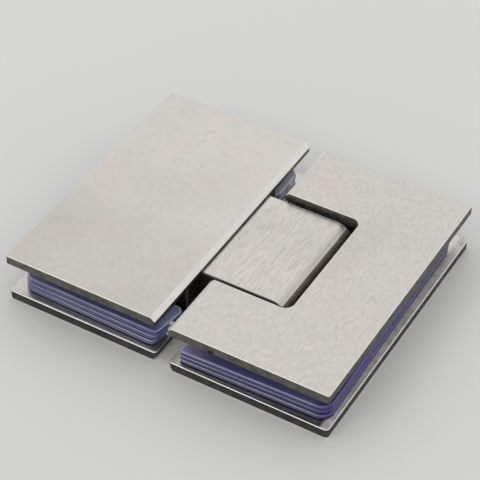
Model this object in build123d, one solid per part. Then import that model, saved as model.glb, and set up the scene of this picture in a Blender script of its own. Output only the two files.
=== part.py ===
from build123d import *
import os
from math import sqrt

# Glass-to-glass door hinge, lying on its back plates.
# X runs across the hinge, fixed side negative and door side positive.
# Y runs along the pivot pin, Z up through the glass. All sizes are millimetres.

# Plates
plate_length = 90.0
plate_width = 51.2
plate_thickness = 3.2
plate_gap = 4.8
slot_height = 10.6
edge_bevel = 1.5
front_corner_radius = 0.5
back_corner_radius = 1.2
edge_break = 0.2

# Pivot block: tongue between the fixed plates, knuckle in the door plates' notch
knuckle_width = 39.6
knuckle_thickness = 12.0
pivot_setback = 33.0
knuckle_seat_gap = 0.1
tongue_width = 52.0
tongue_length = 34.6
shoulder_inset = 1.0
tongue_corner_radius = 3.0
shoulder_corner_radius = 1.0
knuckle_edge_radius = 0.6

# End play along the pin: the door side has slid forward against the back bush
end_play = 0.9

# Notch in the door plates
notch_side_gap = 1.95
notch_end_gap = 1.7
notch_corner_radius = 3.0

# Fork that holds the pin between the door plates
fork_setback = 0.25
fork_arm_width = 4.4
fork_bight_width = 14.0
fork_end_inset = 2.0
fork_corner_radius = 3.0
fork_edge_break = 0.4

# Pivot pin, bushes and detent
pin_radius = 3.5
pin_end_inset = 0.2
pin_end_chamfer = 0.4
pin_flat_depth = 0.4
pin_flats_length = 28.0
pin_seat_clearance = 0.02
grub_flat_depth = 0.5
bush_wall = 1.0
bush_length = 5.5
bush_flange_radius = 5.3
bush_end_clearance = 0.2
running_clearance = 0.05
cam_bore_clearance = 0.35
plunger_radius = 3.4
plunger_clearance = 0.05
plunger_length = 24.0
plunger_spacing = 16.0
plunger_nose_chamfer = 0.6
plunger_pocket_radius = 2.8
plunger_pocket_depth = 6.0
plug_radius = 4.0
plug_length = 12.0
plug_inset = 1.0
spring_wire_width = 1.3
spring_wire_height = 0.9
spring_turns = 5.0
spring_side_clearance = 0.15
spring_end_clearance = 0.15

# Fasteners
thread_clearance = 0.02
screw_radius = 3.0
screw_head_radius = 6.0
screw_head_inset = 0.1
screw_tip_gap = 0.6
screw_hole_clearance = 0.3
countersink_clearance = 0.05
screw_socket_width = 4.0
screw_socket_depth = 2.2
plug_socket_width = 4.0
plug_socket_depth = 4.0
grub_radius = 1.5
grub_length = 8.0
grub_socket_width = 1.5
grub_socket_depth = 1.6
sleeve_radius = 5.0
sleeve_end_gap = 2.0
sleeve_spigot_radius = 3.7
sleeve_spigot_length = 1.4
sleeve_side_clearance = 0.15
fixed_screw_inset = 10.0
fixed_screw_spacing = 37.0
door_screw_spacing = 34.0

# Gaskets, three alike in each slot, which have slid from their middle places
gasket_thickness = 1.5
gasket_layers = 3
gasket_layer_gap = 0.25
gasket_length_inset = 3.75
gasket_width_less = 3.5
gasket_corner_radius = 4.0
gasket_cutout_clearance = 2.2
gasket_cutout_radius = 3.0
gasket_arm_chamfer = 2.0
gasket_arm_radius = 2.0
fixed_gasket_gap_inset = 0.7
fixed_gasket_slide = 1.45
fixed_gasket_lean = 0.2
door_gasket_gap_inset = 2.6
door_gasket_slide = 2.05
door_gasket_lean = 0.0
nub_width = 1.6
nub_reach = 1.0
nub_offset = 0.4

# How near an edge lies to the place it is picked by
pick_tolerance = 0.01

# Places worked out from the sizes above
total_thickness = 2 * plate_thickness + slot_height
slot_floor = plate_thickness
slot_roof = plate_thickness + slot_height
pivot_z = total_thickness / 2
gap_edge = plate_gap / 2
outer_edge = gap_edge + plate_width
pivot_x = outer_edge - pivot_setback
half_length = plate_length / 2
knuckle_radius = knuckle_thickness / 2
knuckle_start = -gap_edge + knuckle_seat_gap
notch_half_width = knuckle_width / 2 + notch_side_gap
notch_end = pivot_x + knuckle_radius + notch_end_gap
fork_half_notch = notch_half_width + fork_setback
fork_half_width = fork_half_notch + fork_arm_width
fork_notch_end = notch_end + fork_setback
fork_end = fork_notch_end + fork_bight_width
fork_start = gap_edge + fork_end_inset
shoulder_x = -gap_edge - shoulder_inset
tongue_end = shoulder_x - tongue_length
bush_radius = pin_radius + running_clearance + bush_wall
bush_flange_thickness = fork_half_notch - knuckle_width / 2 - bush_end_clearance - end_play
cam_bore_radius = pin_radius + cam_bore_clearance
plunger_face = pivot_x - pin_radius - running_clearance
plunger_back = plunger_face - plunger_length
plug_end = tongue_end + plug_inset
plug_face = plug_end + plug_length
fixed_screw_x = tongue_end + fixed_screw_inset
door_screw_x = (fork_notch_end + fork_end) / 2
screw_cone_height = screw_head_radius - screw_radius
spigot_end = slot_roof + sleeve_spigot_length
fork_arm_y = fork_half_notch + fork_arm_width / 2
grub_tip = pivot_x - pin_radius + grub_flat_depth
gasket_half_length = half_length - gasket_length_inset
gasket_width = plate_width - gasket_width_less
fixed_gasket_near = gap_edge + fixed_gasket_gap_inset
door_gasket_near = gap_edge + door_gasket_gap_inset
glass_cutout_depth = max(-tongue_end - fixed_gasket_near, fork_end - door_gasket_near)
glass_half_cutout = max(tongue_width / 2, fork_half_width)
gasket_cutout_depth = glass_cutout_depth + gasket_cutout_clearance
gasket_half_cutout = glass_half_cutout + gasket_cutout_clearance
gasket_arm_y = (gasket_half_length + gasket_half_cutout) / 2


def lies_at(value, place):
    return abs(value - place) < pick_tolerance


def upright_edges(part, x):
    """Edges along Z at one place across the hinge."""
    return [e for e in part.edges().filter_by(Axis.Z) if lies_at(e.center().X, x)]


def along_x(radius, x_low, x_high, y, z):
    """Round bar or bore along X."""
    bar = Cylinder(radius, x_high - x_low, align=(Align.CENTER, Align.CENTER, Align.MIN))
    return Pos(x_low, y, z) * Rot(0, 90, 0) * bar


def along_y(radius, y_low, y_high):
    """Round bar or bore along the pivot axis."""
    bar = Cylinder(radius, y_high - y_low, align=(Align.CENTER, Align.CENTER, Align.MIN))
    return Pos(pivot_x, y_low, pivot_z) * Rot(-90, 0, 0) * bar


def along_z(radius, x, y, z_low, z_high):
    """Round bar or bore through the plates."""
    bar = Cylinder(radius, z_high - z_low, align=(Align.CENTER, Align.CENTER, Align.MIN))
    return Pos(x, y, z_low) * bar


def slab(x_low, x_high, y_low, y_high, z_low, z_high):
    """Block between six faces."""
    box = Box(x_high - x_low, y_high - y_low, z_high - z_low)
    return Pos((x_low + x_high) / 2, (y_low + y_high) / 2, (z_low + z_high) / 2) * box


def hex_prism(width, x, y, z, length):
    """Hexagon of a given width across flats, upwards from a point."""
    outline = RegularPolygon(width / sqrt(3), 6)
    return Pos(x, y, z) * extrude(outline, length)


def side_name(side):
    return "front" if side < 0 else "back"


def make_plate(side, front, corner_radius):
    """Clamping plate, bevelled on its show face along the gap."""
    z_low = slot_roof if front else 0.0
    z_high = total_thickness if front else slot_floor
    show_z = z_high if front else z_low
    x_low, x_high = sorted((side * gap_edge, side * outer_edge))
    plate = slab(x_low, x_high, -half_length, half_length, z_low, z_high)
    bevel = [
        e
        for e in plate.edges().filter_by(Axis.Y)
        if lies_at(e.center().X, side * gap_edge) and lies_at(e.center().Z, show_z)
    ]
    plate = chamfer(bevel, edge_bevel)
    corners = upright_edges(plate, side * outer_edge) + upright_edges(plate, side * gap_edge)
    return fillet(corners, corner_radius)


def break_edges(plate, side):
    """Take the sharp edge off a plate's faces, all but the bevelled side."""
    flat_edges = plate.edges().filter_by(GeomType.LINE)
    along = [e for e in flat_edges.filter_by(Axis.X) if e.length > plate_width / 3]
    outer = [e for e in flat_edges.filter_by(Axis.Y) if lies_at(e.center().X, side * outer_edge)]
    return chamfer(along + outer, edge_break)


def make_fixed_front_plate():
    plate = break_edges(make_plate(-1, True, front_corner_radius), -1)
    for y in screw_rows(fixed_screw_spacing):
        plate -= along_z(sleeve_spigot_radius, fixed_screw_x, y, slot_roof, spigot_end)
    return plate


def make_fixed_back_plate():
    plate = break_edges(make_plate(-1, False, back_corner_radius), -1)
    for y in screw_rows(fixed_screw_spacing):
        plate -= countersunk_hole(fixed_screw_x, y)
    return plate


def cut_notch(plate, z_low, z_high, show_z):
    """Cut the U-shaped notch that the knuckle turns in, and break its show edges."""
    notch = slab(gap_edge - plate_gap, notch_end, -notch_half_width, notch_half_width, z_low, z_high)
    notch = fillet(upright_edges(notch, notch_end), notch_corner_radius)
    plate -= notch
    rim = [
        e
        for e in plate.edges()
        if lies_at(e.center().Z, show_z)
        and abs(e.center().Y) < notch_half_width + pick_tolerance
        and e.center().X < notch_end + pick_tolerance
        and e.length > pick_tolerance
    ]
    return chamfer(rim, edge_break)


def make_door_front_plate():
    plate = break_edges(make_plate(1, True, front_corner_radius), 1)
    plate = cut_notch(plate, slot_roof, total_thickness, total_thickness)
    for y in screw_rows(door_screw_spacing):
        plate -= along_z(sleeve_spigot_radius, door_screw_x, y, slot_roof, spigot_end)
    return plate


def make_door_back_plate():
    plate = break_edges(make_plate(1, False, back_corner_radius), 1)
    plate = cut_notch(plate, 0.0, slot_floor, 0.0)
    for y in screw_rows(door_screw_spacing):
        plate -= countersunk_hole(door_screw_x, y)
    return plate


def screw_rows(spacing):
    return (-spacing / 2, spacing / 2)


def screw_cone(x, y, clearance):
    """Right-angled cone of a screw's head, or of the seat around it."""
    cone = Cone(
        screw_head_radius + clearance,
        screw_radius + clearance,
        screw_cone_height,
        align=(Align.CENTER, Align.CENTER, Align.MIN),
    )
    return Pos(x, y, screw_head_inset) * cone


def countersunk_hole(x, y):
    """Clearance hole with its countersink in a back plate's outer face."""
    hole = along_z(screw_radius + screw_hole_clearance, x, y, 0.0, slot_floor)
    hole += screw_cone(x, y, countersink_clearance)
    hole += along_z(screw_head_radius + countersink_clearance, x, y, 0.0, screw_head_inset)
    return hole


def make_screws(x, spacing):
    """Countersunk socket screws, driven from the back plate into the sleeves."""
    tip = slot_roof - screw_tip_gap
    screws = []
    for y in screw_rows(spacing):
        screw = screw_cone(x, y, 0.0)
        screw += along_z(screw_radius, x, y, screw_head_inset + screw_cone_height, tip)
        screw -= hex_prism(screw_socket_width, x, y, screw_head_inset, screw_socket_depth)
        screws.append(screw)
    return screws


def make_sleeves(x, spacing):
    """Threaded sleeves, pressed into the front plate by their spigots."""
    low = slot_floor + sleeve_end_gap
    sleeves = []
    for y in screw_rows(spacing):
        sleeve = along_z(sleeve_radius, x, y, low, slot_roof)
        sleeve += along_z(sleeve_spigot_radius - thread_clearance, x, y, slot_roof, spigot_end)
        sleeve -= along_z(screw_radius + thread_clearance, x, y, low, slot_roof)
        sleeves.append(sleeve)
    return sleeves


def make_pivot_block():
    """Tongue, neck and round-ended knuckle in one piece, bored for the pin and the plungers."""
    half = knuckle_width / 2
    half_tongue = tongue_width / 2
    tongue = slab(tongue_end, shoulder_x, -half_tongue, half_tongue, slot_floor, slot_roof)
    tongue = fillet(upright_edges(tongue, tongue_end), tongue_corner_radius)
    tongue = fillet(upright_edges(tongue, shoulder_x), shoulder_corner_radius)
    neck = slab(shoulder_x, knuckle_start, -half, half, slot_floor, slot_roof)
    knuckle = slab(
        knuckle_start, pivot_x, -half, half, pivot_z - knuckle_radius, pivot_z + knuckle_radius
    )
    knuckle += along_y(knuckle_radius, -half, half)
    side_edges = [
        e
        for e in knuckle.edges()
        if lies_at(abs(e.center().Y), half) and e.center().X > knuckle_start + pick_tolerance
    ]
    knuckle = fillet(side_edges, knuckle_edge_radius)
    block = tongue + neck + knuckle
    block -= along_y(cam_bore_radius, -half, half)
    for side in (-1, 1):
        seat_low, seat_high = sorted((side * (half - bush_length), side * half))
        block -= along_y(bush_radius, seat_low, seat_high)
        y = side * plunger_spacing / 2
        block -= along_x(plunger_radius + plunger_clearance, tongue_end, pivot_x, y, pivot_z)
        block -= along_x(plug_radius + thread_clearance, tongue_end, plug_face, y, pivot_z)
    for y in screw_rows(fixed_screw_spacing):
        block -= along_z(sleeve_radius + sleeve_side_clearance, fixed_screw_x, y, slot_floor, slot_roof)
    return block


def make_bush(side):
    """Flanged bush in the knuckle, its flange taking the side load against the fork."""
    half = knuckle_width / 2
    inner, outer = side * (half - bush_length), side * (half + bush_flange_thickness)
    bush = along_y(bush_radius, *sorted((inner, side * half)))
    bush += along_y(bush_flange_radius, *sorted((side * half, outer)))
    bush -= along_y(pin_radius + running_clearance, *sorted((inner, outer)))
    return bush


def make_pin():
    """Pivot pin with four flats for the plungers and a seat for a grub screw near each end."""
    half = fork_half_width - pin_end_inset
    pin = along_y(pin_radius, -half, half)
    pin = chamfer(pin.edges().filter_by(GeomType.CIRCLE), pin_end_chamfer)
    half_flats = pin_flats_length / 2
    reach = pin_radius - pin_flat_depth
    ring = slab(
        pivot_x - 2 * pin_radius,
        pivot_x + 2 * pin_radius,
        -half_flats,
        half_flats,
        pivot_z - 2 * pin_radius,
        pivot_z + 2 * pin_radius,
    )
    ring -= slab(
        pivot_x - reach, pivot_x + reach, -half_flats, half_flats, pivot_z - reach, pivot_z + reach
    )
    pin -= ring
    for side in (-1, 1):
        y = side * fork_arm_y
        pin -= slab(
            pivot_x - 2 * pin_radius,
            grub_tip,
            y - grub_radius,
            y + grub_radius,
            pivot_z - pin_radius,
            pivot_z + pin_radius,
        )
    return pin


def make_fork():
    """U-shaped fork between the door plates, holding the pin in its two arms."""
    fork = slab(fork_start, fork_end, -fork_half_width, fork_half_width, slot_floor, slot_roof)
    corners = upright_edges(fork, fork_start) + upright_edges(fork, fork_end)
    fork = fillet(corners, fork_corner_radius)
    notch = slab(
        fork_start - fork_corner_radius,
        fork_notch_end,
        -fork_half_notch,
        fork_half_notch,
        slot_floor,
        slot_roof,
    )
    notch = fillet(upright_edges(notch, fork_notch_end), notch_corner_radius)
    fork -= notch
    inner_lines = [
        e
        for e in fork.edges()
        if lies_at(abs(e.center().Y), fork_half_notch) and e.length > fork_bight_width
    ]
    inner_lines += [e for e in fork.edges().filter_by(Axis.Y) if lies_at(e.center().X, fork_notch_end)]
    fork = chamfer(inner_lines, fork_edge_break)
    fork -= along_y(pin_radius + pin_seat_clearance, -fork_half_width, fork_half_width)
    for side in (-1, 1):
        fork -= along_x(grub_radius + thread_clearance, fork_start, pivot_x, side * fork_arm_y, pivot_z)
    for y in screw_rows(door_screw_spacing):
        fork -= along_z(sleeve_radius + sleeve_side_clearance, door_screw_x, y, slot_floor, slot_roof)
    return fork


def make_grub_screws():
    """Grub screws in the fork's arms, pressing on the pin's end seats."""
    end = grub_tip - grub_length
    screws = []
    for side in (-1, 1):
        y = side * fork_arm_y
        screw = along_x(grub_radius, end, grub_tip, y, pivot_z)
        socket = Rot(0, 90, 0) * hex_prism(grub_socket_width, 0, 0, 0, grub_socket_depth)
        screw -= Pos(end, y, pivot_z) * socket
        screws.append(screw)
    return screws


def make_plunger(side):
    """Spring-loaded plunger that presses its flat nose on the pin."""
    y = side * plunger_spacing / 2
    plunger = along_x(plunger_radius, plunger_back, plunger_face, y, pivot_z)
    nose = [e for e in plunger.edges().filter_by(GeomType.CIRCLE) if lies_at(e.center().X, plunger_face)]
    plunger = chamfer(nose, plunger_nose_chamfer)
    pocket_end = plunger_back + plunger_pocket_depth
    plunger -= along_x(plunger_pocket_radius, plunger_back, pocket_end, y, pivot_z)
    return plunger


def make_spring(side):
    """Flat-wire compression spring between the plunger's pocket and the plug."""
    y = side * plunger_spacing / 2
    coil_radius = plunger_pocket_radius - spring_side_clearance - spring_wire_width / 2
    start = plug_face + spring_end_clearance + spring_wire_height / 2
    end = plunger_back + plunger_pocket_depth - spring_end_clearance - spring_wire_height / 2
    length = end - start
    coil = Helix(length / spring_turns, length, coil_radius)
    across = Plane(coil @ 0, x_dir=(1, 0, 0), z_dir=coil % 0)
    spring = sweep(across * Rectangle(spring_wire_width, spring_wire_height), coil, is_frenet=True)
    return Pos(start, y, pivot_z) * Rot(0, 90, 0) * spring


def make_plugs():
    """Hollow-hexagon plugs that close the spring bores and set the spring load."""
    plugs = []
    for side in (-1, 1):
        y = side * plunger_spacing / 2
        plug = along_x(plug_radius, plug_end, plug_face, y, pivot_z)
        socket = Rot(0, 90, 0) * hex_prism(plug_socket_width, 0, 0, 0, plug_socket_depth)
        plug -= Pos(plug_end, y, pivot_z) * socket
        plugs.append(plug)
    return plugs


def make_gasket(side, layer):
    """U-shaped gasket that pads the glass, cut out round the block or the fork."""
    near = fixed_gasket_near if side < 0 else door_gasket_near
    slide = fixed_gasket_slide if side < 0 else door_gasket_slide
    lean = fixed_gasket_lean if side < 0 else door_gasket_lean
    far = near + gasket_width
    z_low = slot_floor + layer * (gasket_thickness + gasket_layer_gap)
    z_high = z_low + gasket_thickness
    x_low, x_high = sorted((side * near, side * far))
    sheet = slab(x_low, x_high, -gasket_half_length, gasket_half_length, z_low, z_high)
    sheet = fillet(upright_edges(sheet, side * far), gasket_corner_radius)
    sheet = chamfer(upright_edges(sheet, side * near), gasket_arm_chamfer)
    cutout_end = near + gasket_cutout_depth
    cut_low, cut_high = sorted((side * (near - plate_gap), side * cutout_end))
    cutout = slab(cut_low, cut_high, -gasket_half_cutout, gasket_half_cutout, z_low, z_high)
    cutout = fillet(upright_edges(cutout, side * cutout_end), gasket_cutout_radius)
    sheet -= cutout
    arm_ends = upright_edges(sheet, side * near)
    inner_ends = [e for e in arm_ends if lies_at(abs(e.center().Y), gasket_half_cutout)]
    sheet = fillet(inner_ends, gasket_arm_radius)
    nub_low, nub_high = sorted((side * (near - nub_reach), side * (near + nub_reach)))
    for end in (-1, 1):
        y = end * (gasket_arm_y + nub_offset)
        sheet += slab(nub_low, nub_high, y - nub_width / 2, y + nub_width / 2, z_low, z_high)
    middle_layer = (gasket_layers - 1) / 2
    return Pos(0, (layer - middle_layer) * lean - slide, 0) * sheet


fixed_side = {
    "fixed_front_plate": make_fixed_front_plate(),
    "fixed_back_plate": make_fixed_back_plate(),
    "pivot_block": make_pivot_block(),
    "fixed_screws": make_screws(fixed_screw_x, fixed_screw_spacing),
    "fixed_sleeves": make_sleeves(fixed_screw_x, fixed_screw_spacing),
    "spring_plugs": make_plugs(),
}
door_side = {
    "door_front_plate": make_door_front_plate(),
    "door_back_plate": make_door_back_plate(),
    "pin_fork": make_fork(),
    "pivot_pin": make_pin(),
    "pin_grub_screws": make_grub_screws(),
    "door_screws": make_screws(door_screw_x, door_screw_spacing),
    "door_sleeves": make_sleeves(door_screw_x, door_screw_spacing),
}
for side in (-1, 1):
    fixed_side["bush_" + side_name(side)] = make_bush(side)
    fixed_side["plunger_" + side_name(side)] = make_plunger(side)
    fixed_side["spring_" + side_name(side)] = make_spring(side)
for layer in range(gasket_layers):
    fixed_side["fixed_gasket_" + str(layer + 1)] = make_gasket(-1, layer)
    door_side["door_gasket_" + str(layer + 1)] = make_gasket(1, layer)

os.makedirs("parts", exist_ok=True)
for shift, pieces in ((end_play / 2, fixed_side), (-end_play / 2, door_side)):
    for name, shapes in pieces.items():
        shapes = shapes if isinstance(shapes, list) else [shapes]
        placed = [Compound(children=(Pos(0, shift, 0) * shape).solids()) for shape in shapes]
        export_step(Compound(children=placed), "parts/" + name + ".step")
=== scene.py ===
import math
import bmesh
import bpy
from mathutils import Matrix, Vector


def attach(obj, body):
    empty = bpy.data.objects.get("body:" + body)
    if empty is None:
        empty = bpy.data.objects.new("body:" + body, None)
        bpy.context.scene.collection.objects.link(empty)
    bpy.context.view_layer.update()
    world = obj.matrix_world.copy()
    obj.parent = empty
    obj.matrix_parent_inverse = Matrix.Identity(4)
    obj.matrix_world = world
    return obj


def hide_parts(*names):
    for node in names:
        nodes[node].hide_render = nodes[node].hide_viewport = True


MM = 0.001

# Camera, found from the straight edges of the plates
CAMERA_AZIMUTH = 30.475
CAMERA_ELEVATION = 42.447
CAMERA_ROLL = 0.128
CAMERA_DISTANCE = 516.5 * MM
CAMERA_TARGET = Vector((1.517, -4.166, 17.0)) * MM
CAMERA_CLIP_START = 10 * MM
FOCAL_PIXELS = 1764.6
PICTURE_PIXELS = 480
SENSOR_MM = 36.0

# Studio: floor, even light from all round, and soft boxes by azimuth, elevation, distance, size and
# power. Azimuth 0 is in front and 90 to the right
FLOOR = (0.80, 0.80, 0.79)
FLOOR_DARK = 0.985
FLOOR_SIZE = 4.0
FLOOR_DROP = 0.02 * MM
FLOOR_SPECKLES_PER_METRE = 8.0
WORLD_STRENGTH = 0.68
SOFT_BOXES = {
    "back_softbox": (200, 48, 1.0, (1.3, 1.0), 1.5),
    "left_softbox": (280, 50, 1.1, (0.8, 0.8), 0.5),
    "bevel_softbox": (133, 24, 1.0, (0.5, 0.4), 0.22),
    "edge_strip": (331, 39, 1.0, (0.35, 0.2), 0.6),
}

# Steel: one brushed finish, its sides darker with painted shade
STEEL = (0.60, 0.575, 0.535)
STEEL_SIDE_SHADE = (0.20, 0.19, 0.165)
STEEL_LOW_SIDE_SHADE = (0.12, 0.118, 0.11)
# Pale steel for the painted highlights on the bevels and the knuckle's bright line, and for a speck
STEEL_PALE = (0.93, 0.91, 0.88)
STEEL_PINK = (0.62, 0.56, 0.525)
STEEL_COOL = (0.585, 0.58, 0.55)
# Dull steel for random dull patches, and for painted shade on the knuckle's top
STEEL_DULL_AND_SHADE = (0.52, 0.50, 0.465)
# Knuckle: painted shade on its rounding, ends and front edge, and a painted highlight on its back edge
KNUCKLE_BROWN_SHADE = (0.34, 0.28, 0.22)
KNUCKLE_END_SHADE = (0.045, 0.036, 0.028)
KNUCKLE_BACK_EDGE_HIGHLIGHT = (0.88, 0.88, 0.91)
KNUCKLE_FRONT_EDGE_SHADE = (0.10, 0.095, 0.085)
# Painted light on the back plates' strips, and near black for nicks and a line of painted shade
STEEL_PAINTED_LIGHT = (0.80, 0.78, 0.74)
NEAR_BLACK = (0.02, 0.018, 0.016)

# Hairlines of each brushed piece: roughness, contrast, and how many go in a metre across and along
FIXED_PLATE_HAIRLINES = (0.32, 0.064, 2000.0, 600.0)
DOOR_PLATE_HAIRLINES = (0.32, 0.098, 2000.0, 600.0)
BACK_PLATE_HAIRLINES = (0.32, 0.09, 2000.0, 600.0)
BLOCK_HAIRLINES = (0.27, 0.14, 2600.0, 340.0)

# Hairlines lie in two layers, each with its size and detail
HAIRLINE_LAYERS = ((1.0, 3.0), (0.65, 2.0))
HAIRLINE_LEVELS = (0.36, 0.64)
HAIRLINE_DEPTH = 0.02 * MM

# Clouds, patches and mottles of the steel: how many go in a metre, and a shift that keeps them apart
CLOUDS = (22.0, 0.0)
PATCHES = (70.0, 7.3)
MOTTLES = (420.0, 2.1)
CLOUD_DETAIL = 4.0

# Levels of noise where a tint starts and is full, and its share there
PINK_PATCHES = (0.50, 0.66, 0.9)
COOL_PATCHES = (0.50, 0.34, 0.9)
DULL_CLOUDS = (0.52, 0.30, 0.75)
DULL_MOTTLES = (0.52, 0.68, 0.45)

# Levels of noise between which a finish changes, of which the first hold nearly all of a noise,
# and for the bevel also its shares at the two levels
NOISE_LEVELS = (0.3, 0.7)
SIDE_SHADE_MOTTLES = (0.35, 0.65)
BROWN_STREAKS = (0.40, 0.58)
BEVEL_MOTTLES = (0.3, 0.55, 0.9, 1.0)

# Roughness varies this far below and above a piece's own, and sides are rougher
ROUGHNESS_BELOW = 0.04
ROUGHNESS_ABOVE = 0.06
SIDE_ROUGHNESS = 0.18

# How metallic the dull places are, which keep their own shade whatever they mirror, so that the painted
# light and shade on them show
DULL_METALLIC = 0.15

# Fades by flatness, which is 1 on a level face and 0 on an upright one
LEVEL_FACE = (0.95, 0.99)
ROUGHER_SIDE = (0.95, 0.75)
SIDE_TO_TOP = (0.15, 0.45)
TOP_TO_SIDE = (0.45, 0.15)
BEVEL_STARTS = (0.66, 0.70)
BEVEL_ENDS = (0.76, 0.72)
ROUNDING_TO_TOP = (0.775, 0.80)
ROUNDING_TO_DEEP = (0.77, 0.55)
ROUNDING_TO_END = (0.50, 0.25)
ROUNDING_TURNS_DULL = (0.79, 0.74)
BRIGHT_LINE_STARTS = (0.80, 0.815)
BRIGHT_LINE_ENDS = (0.87, 0.84)
DIP_STARTS = (0.86, 0.90)
DIP_ENDS = (0.97, 0.94)

# Fades by how far the knuckle's end edges face the back or the front
BACK_EDGE_STARTS = (0.1, 0.2)
BACK_EDGE_ENDS = (0.95, 0.85)
FRONT_EDGE_STARTS = (0.3, 0.5)
FRONT_EDGE_ENDS = (0.97, 0.9)

# Shares of a colour where two are mixed, or of its brightness
SIDE_SHADE_DARK = 0.62
BROWN_DARK = 0.6
BROWN_DEEP = 0.26
DIP_SHARE = 0.55
BRIGHT_LINE_SHARE = 0.8
BRIGHT_LINE_DULL = 0.5
ROUNDING_DULL = 0.8
BEVEL_DULL = 0.6
STRIP_DARK = 0.6
PALE_FRONT_SHARE = 0.8
LINE_SHARE = 0.8

# Painted sheen, a soft pool of light painted on the fixed front plate: along Y, in millimetres, it turns
# from the first brightness to the second
PAINTED_SHEEN_PLACE = (-26, -4)
PAINTED_SHEEN_BRIGHTNESS = (0.95, 1.06)

# Fades on the back plates in millimetres: the strip of painted light beside the door's glass along X,
# the fixed plate's front edge of painted light along Y and its end along X, the faces that show them
# along Z, and the dark line of painted shade under their upper edge along Z
STRIP_PLACE = (50.5, 51.5)
PALE_FRONT_PLACE = (-43.7, -44.0)
PALE_FRONT_END = (0.0, -1.0)
INNER_FACE = (2.9, 3.1)
UNDER_EDGE = (2.5, 2.62)

# Small marks: place and radius in millimetres, and colour
FRONT_PLATE_MARKS = (((16.5, -45.45, 13.9), 1.1, NEAR_BLACK), ((-53.3, -44.4, 14.9), 0.6, NEAR_BLACK))
BACK_PLATE_MARKS = (((48.83, -43.88, 3.2), 0.45, STEEL_PALE),)

# How ragged a mark is, and the share of its radius that has the full colour
MARK_RAGGED = (0.6, 1.4)
MARK_CORE = 0.6

# Plain steels: colour and roughness
PIN_STEEL = ((0.56, 0.55, 0.53), 0.25)
SCREW_STEEL = ((0.33, 0.325, 0.31), 0.3)
SPRING_STEEL = ((0.42, 0.41, 0.40), 0.35)
BUSH_STEEL = ((0.16, 0.155, 0.15), 0.4)
TURNED_GRAINS_PER_METRE = 3000.0
TURNED_DARK = 0.85
TURNED_ROUGHNESS_SPREAD = 0.05

# Rounding of the edges that catch the light, and joining and shading of the solids' facets
EDGE_ROUNDING = 0.16 * MM
EDGE_STEPS = 2
EDGE_ANGLE = 35
WELD_DISTANCE = 0.002 * MM
FLAT_FACE_WEIGHT = 90

# Gaskets: clear blue-violet sheet, with painted highlights on its rims and painted shade below them
GASKET_CONTACT_SHADE = (0.003, 0.003, 0.02)
GASKET_SIDE_SHADE = (0.035, 0.040, 0.125)
GASKET_FACE = (0.115, 0.125, 0.30)
GASKET_RIM_HIGHLIGHT = (0.60, 0.59, 0.86)
GASKET_END = (0.30, 0.27, 0.52)
GASKET_RIGHT = (0.02, 0.012, 0.13)
GASKET_RIGHT_RIM_HIGHLIGHT = (0.26, 0.21, 0.74)
GASKET_GAP_LIGHT = (0.34, 0.42, 0.68)
GASKET_GAP_RIM_HIGHLIGHT = (0.85, 0.89, 0.96)
GASKET_BACK_LIGHT = (0.52, 0.53, 0.70)
GASKET_BACK_RIM_HIGHLIGHT = (0.93, 0.93, 0.98)
NUB = (0.97, 0.98, 1.0)
GASKET_CLOUDS_PER_METRE = 160.0
GASKET_CLOUD_DETAIL = 3.0
GASKET_ROUGHNESS = (0.22, 0.34)
RIM_CLOUDS = (0.3, 0.6, 0.65, 1.0)
JOINT_DARK = 0.5
NUB_GRAINS_PER_METRE = 1800.0
NUB_DARK = 0.88

# Where a gasket's colours fade in, in millimetres: in the gap and towards its back, where they are
# painted light, at the right, and at the end beside the gap
GAP_ACROSS = (7.5, 4.5)
GAP_ALONG = (41, 37)
BACK_PLACE = (20, 25)
RIGHT_PLACE = (47, 51.5)
END_OUTER = (16, 7)
END_INNER = (2, 4)

# A pale speck on the right edge of the door's gaskets: its place and where it fades in
SPECK_PLACE = (51.68, 30.58, 7.4)
SPECK_EDGE = (0.75, 0.55)

# Painted light and shade of a gasket: how pale it is on its sides, its faces and its rims' tops, where the
# painted shade of a joint is 0
RIM_SIDE = 0.4
RIM_SHOULDER = 0.5
RIM_FACE = 0.7
RIM_TOP = 1.0

# How pale the painted highlight on the rim along a side's undersides is, on the same scale
LOWER_RIM = {"fixed": 0.95, "door": 0.3}

# A gasket's shape in millimetres, and as shares of its thickness the heights along its sides
SHEET_THICKNESS = 1.5
SHEET_LENGTH = 82.5
SHEET_FAR = {"fixed": 50.6, "door": 52.35}
SHEET_CORNER = 4.0
CUTOUT_FAR = {"fixed": 42.8, "door": 44.7}
CUTOUT_FRONT_HALF = 28.6
CUTOUT_BACK_HALF = {"fixed": 27.3, "door": 28.6}
CUTOUT_CORNER = 3.0
ARM_ROUNDING = 0.9
FRONT_ROUNDING = {"fixed": 2.0, "door": 1.1}
RIM_RADIUS = 0.32
RIM_BAND = 0.7
RIM_STEPS = 5
SIDE_HEIGHTS = (0.25, 0.40, 0.52, 0.66)
ARC_STEPS = 8
NUB_FROM_END = 6.4
NUB_SIZE = (0.95, 0.8, 0.62)
NUB_REACH = 1.15
NUB_WOBBLE = 0.22
NUB_WOBBLE_TURN = 2.4

# Where the ends of a gasket's arms lie from the gap's middle, at the outer and inner corner
# of the back arm and then of the front arm
ARM_ENDS = {
    "fixed_gasket_1": (3.5, 3.4, 2.4, 4.2),
    "fixed_gasket_2": (3.7, 3.5, 2.2, 4.0),
    "fixed_gasket_3": (3.6, 3.4, 2.1, 3.9),
    "door_gasket_1": (5.0, 5.2, 6.4, 4.9),
    "door_gasket_2": (5.0, 5.2, 6.4, 4.9),
    "door_gasket_3": (5.0, 5.2, 6.4, 4.9),
}

# How far the back arm's outer corner is cut back along X and Y, and both arms' inner corners
ARM_CUTS = {"fixed": (1.5, 1.8, 1.55), "door": (1.8, 1.8, 0.9)}

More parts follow.
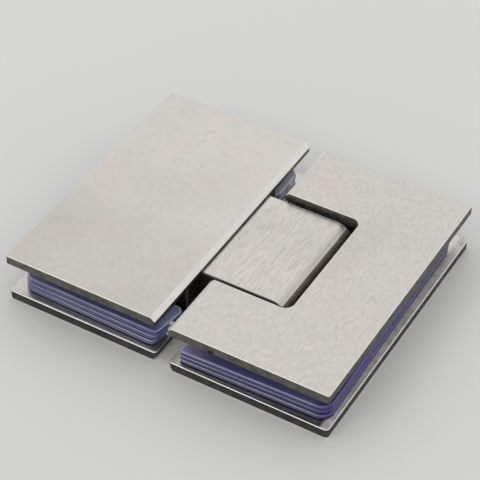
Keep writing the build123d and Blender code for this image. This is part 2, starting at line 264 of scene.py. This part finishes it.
# How each gasket lies: front edge, turn in degrees, underside's height, shift along X,
# and how much its far edge and its back end lift off the one below
SHEETS = {
    "fixed_gasket_1": (-42.35, -1.0, 3.2, -0.3, 0.0, 0.0),
    "fixed_gasket_2": (-42.1, -0.3, 4.95, -0.2, 0.0, 0.0),
    "fixed_gasket_3": (-41.8, -0.1, 6.7, 0.0, 0.0, 0.2),
    "door_gasket_1": (-43.68, 1.2, 3.2, 0.0, 0.0, 0.0),
    "door_gasket_2": (-43.68, 1.1, 4.72, 0.0, 0.7, 0.0),
    "door_gasket_3": (-43.65, 1.0, 6.24, 0.0, 0.7, 0.0),
}

# A gasket's material slots
SHEET_SLOT = 0
NUB_SLOT = 1
JOINT_SHADE_SLOT = 2


def new_material(name):
    """A node material and its surface shader."""
    material = bpy.data.materials.new(name)
    material.use_nodes = True
    return material, material.node_tree, material.node_tree.nodes["Principled BSDF"]


def add_node(tree, kind, inputs=(), **settings):
    """A node with its settings, and each input set to a value or linked to a socket."""
    node = tree.nodes.new(kind)
    for key, value in settings.items():
        setattr(node, key, value)
    for key, value in dict(inputs).items():
        if isinstance(value, bpy.types.NodeSocket):
            tree.links.new(value, node.inputs[key])
        else:
            node.inputs[key].default_value = value
    return node


def scaled(values, share):
    """A colour or a place with each of its values times a share."""
    return tuple(value * share for value in values)


def object_place(tree):
    return add_node(tree, "ShaderNodeTexCoord").outputs["Object"]


def object_axes(tree):
    """The object coordinates as separate sockets X, Y and Z."""
    return add_node(tree, "ShaderNodeSeparateXYZ", {"Vector": object_place(tree)}).outputs


def noise(tree, per_metre, detail=2.0, shift=0.0):
    """Noise in object coordinates, with so many specks in a metre along each axis."""
    mapping = {"Vector": object_place(tree), "Location": (shift,) * 3, "Scale": per_metre}
    place = add_node(tree, "ShaderNodeMapping", mapping).outputs["Vector"]
    inputs = {"Vector": place, "Scale": 1.0, "Detail": detail}
    return add_node(tree, "ShaderNodeTexNoise", inputs).outputs["Fac"]


def mix_colour(tree, factor, first, second):
    """The first colour at factor 0 and the second at 1."""
    inputs = {0: factor}
    for index, colour in ((6, first), (7, second)):
        inputs[index] = (*colour, 1.0) if isinstance(colour, tuple) else colour
    return add_node(tree, "ShaderNodeMix", inputs, data_type="RGBA").outputs[2]


def ramp(tree, value, low, high, start=0.0, end=1.0):
    """A value between two levels, mapped to start and end."""
    inputs = {"Value": value, "From Min": low, "From Max": high, "To Min": start, "To Max": end}
    return add_node(tree, "ShaderNodeMapRange", inputs).outputs["Result"]


def zone(tree, place, limits):
    """0 at the first of two places in millimetres and 1 at the second."""
    return ramp(tree, place, limits[0] * MM, limits[1] * MM)


def maths(tree, operation, first, second=0.0):
    return add_node(tree, "ShaderNodeMath", {0: first, 1: second}, operation=operation).outputs[0]


def product(tree, first, second):
    return maths(tree, "MULTIPLY", first, second)


def highest(tree, first, second):
    return maths(tree, "MAXIMUM", first, second)


def band(tree, value, starts, ends):
    """1 where a value lies between two fades, and 0 before and after them."""
    return product(tree, ramp(tree, value, *starts), ramp(tree, value, *ends))


def distance_from(tree, place):
    """How far the surface is from a place that is given in millimetres."""
    inputs = {0: object_place(tree), 1: scaled(place, MM)}
    return add_node(tree, "ShaderNodeVectorMath", inputs, operation="DISTANCE").outputs["Value"]


def steel_cloud(tree, cloud):
    """Noise with so many specks in a metre, and its own shift."""
    per_metre, shift = cloud
    return noise(tree, (per_metre,) * 3, CLOUD_DETAIL, shift)


class Surface:
    """What a brushed steel's colour depends on: its noises, its place and the way it faces."""

    def __init__(self, tree, across, along):
        layers = []
        for size, detail in HAIRLINE_LAYERS:
            layers.append(noise(tree, (across * size, along * size, across * size), detail))
        self.fine_hairlines = layers[0]
        self.hairlines = product(tree, maths(tree, "ADD", *layers), 1 / len(layers))
        self.clouds = steel_cloud(tree, CLOUDS)
        self.patches = steel_cloud(tree, PATCHES)
        self.mottles = steel_cloud(tree, MOTTLES)
        self.place = object_axes(tree)
        normal = add_node(tree, "ShaderNodeTexCoord").outputs["Normal"]
        facing = add_node(tree, "ShaderNodeSeparateXYZ", {"Vector": normal}).outputs
        self.flatness = maths(tree, "ABSOLUTE", facing["Z"])
        self.back_facing = facing["Y"]
        self.front_facing = product(tree, facing["Y"], -1.0)


def brushed_top(tree, surface, contrast, painted_sheen):
    """Colour of the level faces: warm, cool and dull patches under hairlines along Y."""
    top = STEEL
    tints = (
        (surface.patches, PINK_PATCHES, STEEL_PINK),
        (surface.patches, COOL_PATCHES, STEEL_COOL),
        (surface.clouds, DULL_CLOUDS, STEEL_DULL_AND_SHADE),
        (surface.mottles, DULL_MOTTLES, STEEL_DULL_AND_SHADE),
    )
    for cloud, (start, full, share), tint in tints:
        top = mix_colour(tree, ramp(tree, cloud, start, full, 0.0, share), top, tint)
    level = ramp(tree, surface.hairlines, *HAIRLINE_LEVELS, 1 - contrast, 1 + contrast)
    # Painted sheen: a soft pool of light painted across the fixed front plate
    if painted_sheen:
        start, end = scaled(PAINTED_SHEEN_PLACE, MM)
        level = product(tree, level, ramp(tree, surface.place["Y"], start, end, *PAINTED_SHEEN_BRIGHTNESS))
    inputs = {"Vector": top, "Scale": level}
    return add_node(tree, "ShaderNodeVectorMath", inputs, operation="SCALE").outputs["Vector"]


def bevelled(tree, surface, top, shaded_side):
    """A plate's colour with painted shade on its sides and a painted highlight on its bevel, and where the
    bevel is.
    """
    colour = mix_colour(tree, ramp(tree, surface.flatness, *SIDE_TO_TOP), shaded_side, top)
    # Painted highlight along the bevel
    bevel = band(tree, surface.flatness, BEVEL_STARTS, BEVEL_ENDS)
    bevel = product(tree, bevel, ramp(tree, surface.mottles, *BEVEL_MOTTLES))
    return mix_colour(tree, bevel, colour, STEEL_PALE), bevel


def front_plate_finish(tree, surface, top, shaded_side):
    """Colour of the front plates, with a painted highlight on their bevel, and how dull they are."""
    colour, bevel = bevelled(tree, surface, top, shaded_side)
    return colour, product(tree, bevel, BEVEL_DULL)


def back_plate_finish(tree, surface, top, shaded_side):
    """Colour of the back plates, and how dull they are: painted light on strips beside the gaskets, and a
    line of painted shade under their upper edge.
    """
    colour = bevelled(tree, surface, top, shaded_side)[0]
    level_face = ramp(tree, surface.flatness, *LEVEL_FACE)
    # Painted light on the strip beside the door's glass and on the fixed plate's front edge
    strip = zone(tree, surface.place["X"], STRIP_PLACE)
    front = product(tree, zone(tree, surface.place["Y"], PALE_FRONT_PLACE), PALE_FRONT_SHARE)
    front = product(tree, front, zone(tree, surface.place["X"], PALE_FRONT_END))
    dull = highest(tree, product(tree, strip, level_face), product(tree, front, level_face))
    dull = product(tree, dull, zone(tree, surface.place["Z"], INNER_FACE))
    mottled = ramp(tree, surface.mottles, *NOISE_LEVELS)
    painted_light = mix_colour(tree, mottled, scaled(STEEL_PAINTED_LIGHT, STRIP_DARK), STEEL_PAINTED_LIGHT)
    colour = mix_colour(tree, dull, colour, painted_light)
    # Painted shade: a dark line under the upper edge of the sides
    line = product(tree, zone(tree, surface.place["Z"], UNDER_EDGE), LINE_SHARE)
    line = product(tree, line, ramp(tree, surface.flatness, *TOP_TO_SIDE))
    return mix_colour(tree, line, colour, NEAR_BLACK), dull


def knuckle_finish(tree, surface, top, shaded_side):
    """Colour of the block and the fork, and how dull they are.

    The knuckle's rounding has brown painted shade that darkens downwards, under a painted highlight
    line. Its end edges have a painted highlight at the back and painted shade at the front.
    """
    flatness = surface.flatness
    streaks = ramp(tree, surface.hairlines, *BROWN_STREAKS)
    # Painted shade: the rounding is brown and darkens downwards to the end
    rounding = mix_colour(tree, streaks, scaled(KNUCKLE_BROWN_SHADE, BROWN_DARK), KNUCKLE_BROWN_SHADE)
    deep = scaled(KNUCKLE_BROWN_SHADE, BROWN_DEEP)
    rounding = mix_colour(tree, ramp(tree, flatness, *ROUNDING_TO_DEEP), rounding, deep)
    rounding = mix_colour(tree, ramp(tree, flatness, *ROUNDING_TO_END), rounding, shaded_side)
    # Painted shade: a dip where the top starts to round
    dip = product(tree, band(tree, flatness, DIP_STARTS, DIP_ENDS), DIP_SHARE)
    top = mix_colour(tree, dip, top, STEEL_DULL_AND_SHADE)
    colour = mix_colour(tree, ramp(tree, flatness, *ROUNDING_TO_TOP), rounding, top)
    # Painted highlight: a bright line where the rounding starts
    line = band(tree, flatness, BRIGHT_LINE_STARTS, BRIGHT_LINE_ENDS)
    colour = mix_colour(tree, product(tree, line, BRIGHT_LINE_SHARE), colour, STEEL_PALE)
    # Painted highlight on the back end edge, and painted shade on the front one
    back_edge = band(tree, surface.back_facing, BACK_EDGE_STARTS, BACK_EDGE_ENDS)
    front_edge = band(tree, surface.front_facing, FRONT_EDGE_STARTS, FRONT_EDGE_ENDS)
    colour = mix_colour(tree, back_edge, colour, KNUCKLE_BACK_EDGE_HIGHLIGHT)
    colour = mix_colour(tree, front_edge, colour, KNUCKLE_FRONT_EDGE_SHADE)
    dull = highest(tree, highest(tree, back_edge, front_edge), product(tree, line, BRIGHT_LINE_DULL))
    dull_rounding = product(tree, ramp(tree, flatness, *ROUNDING_TURNS_DULL), ROUNDING_DULL)
    return colour, highest(tree, dull, dull_rounding)


def add_mark(tree, surface, colour, place, radius, shade):
    """A small ragged mark over a colour."""
    ragged = ramp(tree, surface.mottles, *NOISE_LEVELS, *MARK_RAGGED)
    away = product(tree, distance_from(tree, place), ragged)
    return mix_colour(tree, zone(tree, away, (radius, radius * MARK_CORE)), colour, shade)


def brushed_steel(name, hairlines, side, finish, painted_sheen=False, marks=()):
    """Brushed stainless steel with hairlines along Y, sides darkened with painted shade, and small marks.

    A finish is a function that gives the colour of all faces, with their painted light and shade, and how
    dull they are.
    """
    roughness, contrast, across, along = hairlines
    material, tree, shader = new_material(name)
    surface = Surface(tree, across, along)
    top = brushed_top(tree, surface, contrast, painted_sheen)
    # Painted shade: the sides are darker than the top
    shaded_side_mottles = ramp(tree, surface.mottles, *SIDE_SHADE_MOTTLES)
    shaded_side = mix_colour(tree, shaded_side_mottles, scaled(side, SIDE_SHADE_DARK), side)
    colour, dull = finish(tree, surface, top, shaded_side)
    for mark in marks:
        colour = add_mark(tree, surface, colour, *mark)
    tree.links.new(colour, shader.inputs["Base Color"])
    limits = (roughness - ROUGHNESS_BELOW, roughness + ROUGHNESS_ABOVE)
    grain = ramp(tree, surface.hairlines, *NOISE_LEVELS, *limits)
    rougher = ramp(tree, surface.flatness, *ROUGHER_SIDE, 0.0, SIDE_ROUGHNESS)
    tree.links.new(maths(tree, "ADD", grain, rougher), shader.inputs["Roughness"])
    tree.links.new(ramp(tree, dull, 0.0, 1.0, 1.0, DULL_METALLIC), shader.inputs["Metallic"])
    inputs = {"Height": surface.fine_hairlines, "Strength": contrast, "Distance": HAIRLINE_DEPTH}
    tree.links.new(add_node(tree, "ShaderNodeBump", inputs).outputs["Normal"], shader.inputs["Normal"])
    return material


def turned_steel(name, steel):
    """Plain machined steel for the pin, the screws and the inner pieces."""
    base, roughness = steel
    material, tree, shader = new_material(name)
    grain = noise(tree, (TURNED_GRAINS_PER_METRE,) * 3)
    tree.links.new(mix_colour(tree, grain, scaled(base, TURNED_DARK), base), shader.inputs["Base Color"])
    limits = (roughness - TURNED_ROUGHNESS_SPREAD, roughness + TURNED_ROUGHNESS_SPREAD)
    tree.links.new(ramp(tree, grain, *NOISE_LEVELS, *limits), shader.inputs["Roughness"])
    shader.inputs["Metallic"].default_value = 1.0
    return material


def gasket_plastic():
    """Glossy clear blue-violet sheet: painted shade where sheets touch, painted highlights on its rims and
    painted light in the gap.
    """
    material, tree, shader = new_material("gasket_plastic")
    cloud = noise(tree, (GASKET_CLOUDS_PER_METRE,) * 3, GASKET_CLOUD_DETAIL)
    rim = add_node(tree, "ShaderNodeAttribute", attribute_name="rim").outputs["Fac"]
    place = object_axes(tree)
    gap_across = zone(tree, maths(tree, "ABSOLUTE", place["X"]), GAP_ACROSS)
    gap = product(tree, gap_across, zone(tree, maths(tree, "ABSOLUTE", place["Y"]), GAP_ALONG))
    back = zone(tree, place["Y"], BACK_PLACE)
    right = zone(tree, place["X"], RIGHT_PLACE)
    end = product(tree, zone(tree, place["X"], END_OUTER), zone(tree, place["X"], END_INNER))
    face = mix_colour(tree, right, GASKET_FACE, GASKET_RIGHT)
    face = mix_colour(tree, end, face, GASKET_END)
    # Painted light in the gap, paler towards its back
    face = mix_colour(tree, gap, face, mix_colour(tree, back, GASKET_GAP_LIGHT, GASKET_BACK_LIGHT))
    rim_highlight = mix_colour(tree, right, GASKET_RIM_HIGHLIGHT, GASKET_RIGHT_RIM_HIGHLIGHT)
    rim_highlight = mix_colour(tree, gap, rim_highlight, mix_colour(tree, back, GASKET_GAP_RIM_HIGHLIGHT, GASKET_BACK_RIM_HIGHLIGHT))
    side = mix_colour(tree, right, GASKET_SIDE_SHADE, GASKET_RIGHT)
    side = mix_colour(tree, product(tree, gap, back), side, GASKET_RIM_HIGHLIGHT)
    # Painted shade where sheets touch and on the sides, and painted highlights on the rims
    colour = mix_colour(tree, ramp(tree, rim, 0.0, RIM_SIDE), GASKET_CONTACT_SHADE, side)
    colour = mix_colour(tree, ramp(tree, rim, RIM_SIDE, RIM_FACE), colour, face)
    uneven = product(tree, ramp(tree, rim, RIM_FACE, RIM_TOP), ramp(tree, cloud, *RIM_CLOUDS))
    colour = mix_colour(tree, uneven, colour, rim_highlight)
    speck = zone(tree, distance_from(tree, SPECK_PLACE), SPECK_EDGE)
    tree.links.new(mix_colour(tree, speck, colour, NUB), shader.inputs["Base Color"])
    tree.links.new(ramp(tree, cloud, *NOISE_LEVELS, *GASKET_ROUGHNESS), shader.inputs["Roughness"])
    shader.inputs["IOR"].default_value = 1.5
    shader.inputs["Coat Weight"].default_value = 0.4
    shader.inputs["Coat Roughness"].default_value = 0.15
    return material


def gasket_joint_shade():
    """Painted shade: the dark, unlit joint where one gasket lies on the next."""
    material, tree, shader = new_material("gasket_joint_shade")
    cloud = noise(tree, (GASKET_CLOUDS_PER_METRE,) * 3)
    dark = scaled(GASKET_CONTACT_SHADE, JOINT_DARK)
    tree.links.new(mix_colour(tree, cloud, dark, GASKET_CONTACT_SHADE), shader.inputs["Base Color"])
    shader.inputs["Roughness"].default_value = 0.9
    shader.inputs["Specular IOR Level"].default_value = 0.0
    return material


def nub_plastic():
    """Milky snapped-off ends of the gaskets' moulding gates."""
    material, tree, shader = new_material("nub_plastic")
    grain = noise(tree, (NUB_GRAINS_PER_METRE,) * 3)
    tree.links.new(mix_colour(tree, grain, scaled(NUB, NUB_DARK), NUB), shader.inputs["Base Color"])
    shader.inputs["Roughness"].default_value = 0.4
    return material


def rounded_outline(corners):
    """Closed outline in millimetres from corners of (x, y, radius), each rounded by an arc."""
    points = []
    count = len(corners)
    for index, (x, y, radius) in enumerate(corners):
        corner = Vector((x, y))
        before = (Vector(corners[index - 1][:2]) - corner).normalized()
        after = (Vector(corners[(index + 1) % count][:2]) - corner).normalized()
        half_angle = before.angle(after) / 2
        reach = radius / math.tan(half_angle)
        middle = corner + (before + after).normalized() * (radius / math.sin(half_angle))
        start = corner + before * reach - middle
        end = corner + after * reach - middle
        sweep = start.angle(end)
        turn_side = 1 if start.x * end.y - start.y * end.x > 0 else -1
        for step in range(ARC_STEPS + 1):
            turn = Matrix.Rotation(turn_side * sweep * step / ARC_STEPS, 2)
            points.append(middle + turn @ start)
    return points


def inward(points, distance):
    """An outline that runs anticlockwise, moved inwards by a distance."""
    moved = []
    count = len(points)
    for index, point in enumerate(points):
        ahead = (points[(index + 1) % count] - points[index - 1]).normalized()
        moved.append(point + Vector((-ahead.y, ahead.x)) * distance)
    return moved


def sheet_outline(side, ends):
    """Outline of a side's gasket, reaching from the gap along +X, its front edge at Y 0, anticlockwise."""
    far = SHEET_FAR[side]
    back_outer, back_inner, front_inner, front_outer = ends
    outer_cut_x, outer_cut_y, inner_cut = ARM_CUTS[side]
    middle = SHEET_LENGTH / 2
    cutout_back = middle + CUTOUT_BACK_HALF[side]
    cutout_front = middle - CUTOUT_FRONT_HALF
    corners = [
        (far, SHEET_LENGTH, SHEET_CORNER),
        (back_outer + outer_cut_x, SHEET_LENGTH, ARM_ROUNDING),
        (back_outer, SHEET_LENGTH - outer_cut_y, ARM_ROUNDING),
        (back_inner, cutout_back + inner_cut, ARM_ROUNDING),
        (back_inner + inner_cut, cutout_back, ARM_ROUNDING),
        (CUTOUT_FAR[side], cutout_back, CUTOUT_CORNER),
        (CUTOUT_FAR[side], cutout_front, CUTOUT_CORNER),
        (front_inner + inner_cut, cutout_front, ARM_ROUNDING),
        (front_inner, cutout_front - inner_cut, ARM_ROUNDING),
        (front_outer, 0.0, FRONT_ROUNDING[side]),
        (far, 0.0, SHEET_CORNER),
    ]
    return rounded_outline(corners)


def sheet_rings(outline, lower_rim):
    """Rings of points over the rounded rim, from inside the underside to inside the top, with their painted
    light and shade.
    """
    profile = [(0.0, RIM_BAND, 0.0)]
    quarter = [math.radians(90 * step / RIM_STEPS) for step in range(RIM_STEPS + 1)]
    for angle in quarter:
        profile.append((RIM_RADIUS * (1 - math.cos(angle)), RIM_RADIUS * (1 - math.sin(angle)), 0.0))
    for height, rim in zip(SIDE_HEIGHTS, (0.0, lower_rim, RIM_SIDE, RIM_SIDE)):
        profile.append((SHEET_THICKNESS * height, 0.0, rim))
    for angle in quarter:
        height = SHEET_THICKNESS - RIM_RADIUS * (1 - math.sin(angle))
        rim = RIM_SHOULDER + (RIM_TOP - RIM_SHOULDER) * math.sin(angle)
        profile.append((height, RIM_RADIUS * (1 - math.cos(angle)), rim))
    profile.append((SHEET_THICKNESS, RIM_BAND, RIM_FACE))
    rings = []
    for height, inset, rim in profile:
        rings.append(([(point.x, point.y, height) for point in inward(outline, inset)], rim))
    return rings


def add_nub(mesh, x, y):
    """Broken moulding gate on an arm's end."""
    lump = bmesh.ops.create_icosphere(mesh, subdivisions=2, radius=1.0)["verts"]
    for index, vertex in enumerate(lump):
        wobble = 1 + NUB_WOBBLE * math.sin(index * NUB_WOBBLE_TURN + y)
        vertex.co = Vector((size * value * wobble for size, value in zip(NUB_SIZE, vertex.co)))
        vertex.co += Vector((x, y, SHEET_THICKNESS / 2))
    for face in {face for vertex in lump for face in vertex.link_faces}:
        face.material_index = NUB_SLOT


def add_sheet(mesh, side, outline):
    """The sheet itself, with the painted light and shade of each point of its rim."""
    painted_light_layer = mesh.verts.layers.float.new("rim")
    rows = []
    for points, rim in sheet_rings(outline, LOWER_RIM[side]):
        row = [mesh.verts.new(point) for point in points]
        for vertex in row:
            vertex[painted_light_layer] = rim
        rows.append(row)
    count = len(outline)
    for lower, upper in zip(rows, rows[1:]):
        # Faces where the painted light is 0 get the joint's painted shade
        slot = JOINT_SHADE_SLOT if upper[0][painted_light_layer] == 0.0 else SHEET_SLOT
        for index in range(count):
            following = (index + 1) % count
            face = mesh.faces.new((lower[index], lower[following], upper[following], upper[index]))
            face.material_index = slot
    mesh.faces.new(rows[0][::-1])
    mesh.faces.new(rows[-1])


def lay_sheet(mesh, name, side, outline):
    """Mirror a fixed side's sheet, then turn, lift and shift it to where it lies."""
    front, turn, low, shift, far_lift, back_lift = SHEETS[name]
    mirror = -1 if side == "fixed" else 1
    if side == "fixed":
        bmesh.ops.reverse_faces(mesh, faces=mesh.faces)
    twist = Matrix.Rotation(math.radians(turn), 3, "Z")
    middle_x = max(point.x for point in outline) / 2
    for vertex in mesh.verts:
        lift = far_lift * vertex.co.x / SHEET_FAR[side] + back_lift * vertex.co.y / SHEET_LENGTH
        local = Vector((mirror * (vertex.co.x - middle_x), vertex.co.y, vertex.co.z))
        vertex.co = (twist @ local + Vector((mirror * middle_x + shift, front, low + lift))) * MM


def make_sheet(name, materials):
    """One gasket: a U-shaped sheet with rounded rims that lies loose in its slot."""
    side = name.split("_")[0]
    ends = ARM_ENDS[name]
    outline = sheet_outline(side, ends)
    mesh = bmesh.new()
    add_sheet(mesh, side, outline)
    back_end = ends[0]
    front_end = (ends[2] + ends[3]) / 2
    sunk = NUB_SIZE[0] - NUB_REACH
    add_nub(mesh, front_end + sunk, NUB_FROM_END)
    add_nub(mesh, back_end + sunk, SHEET_LENGTH - NUB_FROM_END)
    bmesh.ops.triangulate(mesh, faces=[face for face in mesh.faces if len(face.verts) > 4])
    lay_sheet(mesh, name, side, outline)
    data = bpy.data.meshes.new(name + "_sheet")
    mesh.to_mesh(data)
    mesh.free()
    data.shade_smooth()
    for material in materials:
        data.materials.append(material)
    obj = bpy.data.objects.new(name + "_sheet", data)
    bpy.context.scene.collection.objects.link(obj)
    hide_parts(name)
    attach(obj, side + "_side")


def make_stage():
    """Plain pale floor."""
    bpy.ops.mesh.primitive_plane_add(size=FLOOR_SIZE, location=(0, 0, -FLOOR_DROP))
    floor = bpy.context.object
    floor.name = "floor"
    material, tree, shader = new_material("floor")
    speckle = noise(tree, (FLOOR_SPECKLES_PER_METRE,) * 3)
    tree.links.new(mix_colour(tree, speckle, scaled(FLOOR, FLOOR_DARK), FLOOR), shader.inputs["Base Color"])
    shader.inputs["Roughness"].default_value = 0.9
    shader.inputs["Specular IOR Level"].default_value = 0.1
    floor.data.materials.append(material)


def direction(azimuth, elevation):
    """Unit vector away from the hinge. Azimuth 0 is in front and 90 to the right."""
    turn = math.radians(azimuth)
    rise = math.radians(elevation)
    return Vector((math.sin(turn) * math.cos(rise), -math.cos(turn) * math.cos(rise), math.sin(rise)))


def add_soft_box(name, azimuth, elevation, distance, size, power):
    """Soft box aimed at the hinge from a direction."""
    away = direction(azimuth, elevation)
    lamp = bpy.data.lights.new(name, "AREA")
    lamp.shape = "RECTANGLE"
    lamp.size, lamp.size_y = size
    lamp.energy = power
    obj = bpy.data.objects.new(name, lamp)
    obj.location = away * distance
    obj.rotation_euler = away.to_track_quat("Z", "Y").to_euler()
    bpy.context.scene.collection.objects.link(obj)


def make_lights():
    """Even white light from all round, and the soft boxes."""
    world = bpy.data.worlds.new("studio")
    world.use_nodes = True
    background = world.node_tree.nodes["Background"]
    background.inputs["Color"].default_value = (1.0, 1.0, 1.0, 1.0)
    background.inputs["Strength"].default_value = WORLD_STRENGTH
    bpy.context.scene.world = world
    for name, box in SOFT_BOXES.items():
        add_soft_box(name, *box)


def make_camera():
    """Camera at the photograph's viewing angle."""
    turn = math.radians(CAMERA_AZIMUTH)
    roll = math.radians(CAMERA_ROLL)
    back = direction(CAMERA_AZIMUTH, CAMERA_ELEVATION)
    level = Vector((math.cos(turn), math.sin(turn), 0.0))
    above = back.cross(level)
    right = level * math.cos(roll) + above * math.sin(roll)
    up = above * math.cos(roll) - level * math.sin(roll)
    camera = bpy.data.cameras.new("camera")
    camera.sensor_width = SENSOR_MM
    camera.lens = SENSOR_MM * FOCAL_PIXELS / PICTURE_PIXELS
    camera.clip_start = CAMERA_CLIP_START
    obj = bpy.data.objects.new("camera", camera)
    axes = Matrix((right, up, back)).transposed()
    obj.matrix_world = Matrix.Translation(CAMERA_TARGET + back * CAMERA_DISTANCE) @ axes.to_4x4()
    bpy.context.scene.collection.objects.link(obj)
    bpy.context.scene.camera = obj


def weld(obj):
    """Join the solids' facets, which meet but don't share their points."""
    modifier = obj.modifiers.new("weld", "WELD")
    modifier.merge_threshold = WELD_DISTANCE


def round_edges(obj):
    """Break the sharp edges that catch the light."""
    weld(obj)
    bevel = obj.modifiers.new("edges", "BEVEL")
    bevel.width = EDGE_ROUNDING
    bevel.segments = EDGE_STEPS
    bevel.limit_method = "ANGLE"
    bevel.angle_limit = math.radians(EDGE_ANGLE)
    bevel.harden_normals = True


def keep_faces_flat(obj):
    """Shade large faces flat and only the small roundings between them smooth."""
    weld(obj)
    weighted = obj.modifiers.new("normals", "WEIGHTED_NORMAL")
    weighted.mode = "FACE_AREA"
    weighted.weight = FLAT_FACE_WEIGHT
    weighted.keep_sharp = True


def paint(pieces, names, material):
    """Give pieces one material."""
    for name in names:
        materials = pieces[name].data.materials
        materials.clear()
        materials.append(material)


def make_plates(pieces):
    """Finish the four plates: the front ones have edges that catch the light."""
    fixed_steel = brushed_steel(
        "fixed_plate_steel",
        FIXED_PLATE_HAIRLINES,
        STEEL_SIDE_SHADE,
        front_plate_finish,
        painted_sheen=True,
        marks=FRONT_PLATE_MARKS,
    )
    door_steel = brushed_steel(
        "door_plate_steel", DOOR_PLATE_HAIRLINES, STEEL_SIDE_SHADE, front_plate_finish, marks=FRONT_PLATE_MARKS
    )
    back_steel = brushed_steel(
        "low_plate_steel", BACK_PLATE_HAIRLINES, STEEL_LOW_SIDE_SHADE, back_plate_finish, marks=BACK_PLATE_MARKS
    )
    paint(pieces, ["fixed_front_plate"], fixed_steel)
    paint(pieces, ["door_front_plate"], door_steel)
    paint(pieces, ["fixed_back_plate", "door_back_plate"], back_steel)
    round_edges(pieces["fixed_front_plate"])
    round_edges(pieces["door_front_plate"])


def make_block_and_fork(pieces):
    names = ["pivot_block", "pin_fork"]
    paint(pieces, names, brushed_steel("block_steel", BLOCK_HAIRLINES, KNUCKLE_END_SHADE, knuckle_finish))
    for name in names:
        keep_faces_flat(pieces[name])


def make_mechanism(pieces):
    """Finish the pin, its bushes, the plungers and springs, and all screws, sleeves and plugs."""
    screws = ["fixed_screws", "door_screws"]
    screwed = ["fixed_sleeves", "door_sleeves", "spring_plugs", "pin_grub_screws"]
    sprung = ["spring_front", "spring_back", "plunger_front", "plunger_back"]
    paint(pieces, ["pivot_pin"], turned_steel("pin_steel", PIN_STEEL))
    paint(pieces, screws + screwed, turned_steel("screw_steel", SCREW_STEEL))
    paint(pieces, sprung, turned_steel("spring_steel", SPRING_STEEL))
    paint(pieces, ["bush_front", "bush_back"], turned_steel("bush_steel", BUSH_STEEL))
    for name in screws:
        round_edges(pieces[name])


def make_gaskets():
    materials = (gasket_plastic(), nub_plastic(), gasket_joint_shade())
    for name in SHEETS:
        make_sheet(name, materials)


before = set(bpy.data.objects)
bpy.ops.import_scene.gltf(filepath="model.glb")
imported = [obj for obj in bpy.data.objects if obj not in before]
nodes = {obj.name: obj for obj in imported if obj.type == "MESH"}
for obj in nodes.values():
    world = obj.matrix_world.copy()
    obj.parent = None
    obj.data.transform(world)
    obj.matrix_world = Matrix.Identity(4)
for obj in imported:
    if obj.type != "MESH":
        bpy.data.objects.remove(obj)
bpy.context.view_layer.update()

bpy.context.scene.view_settings.view_transform = "Standard"
make_camera()
make_stage()
make_lights()
make_plates(nodes)
make_block_and_fork(nodes)
make_mechanism(nodes)
make_gaskets()
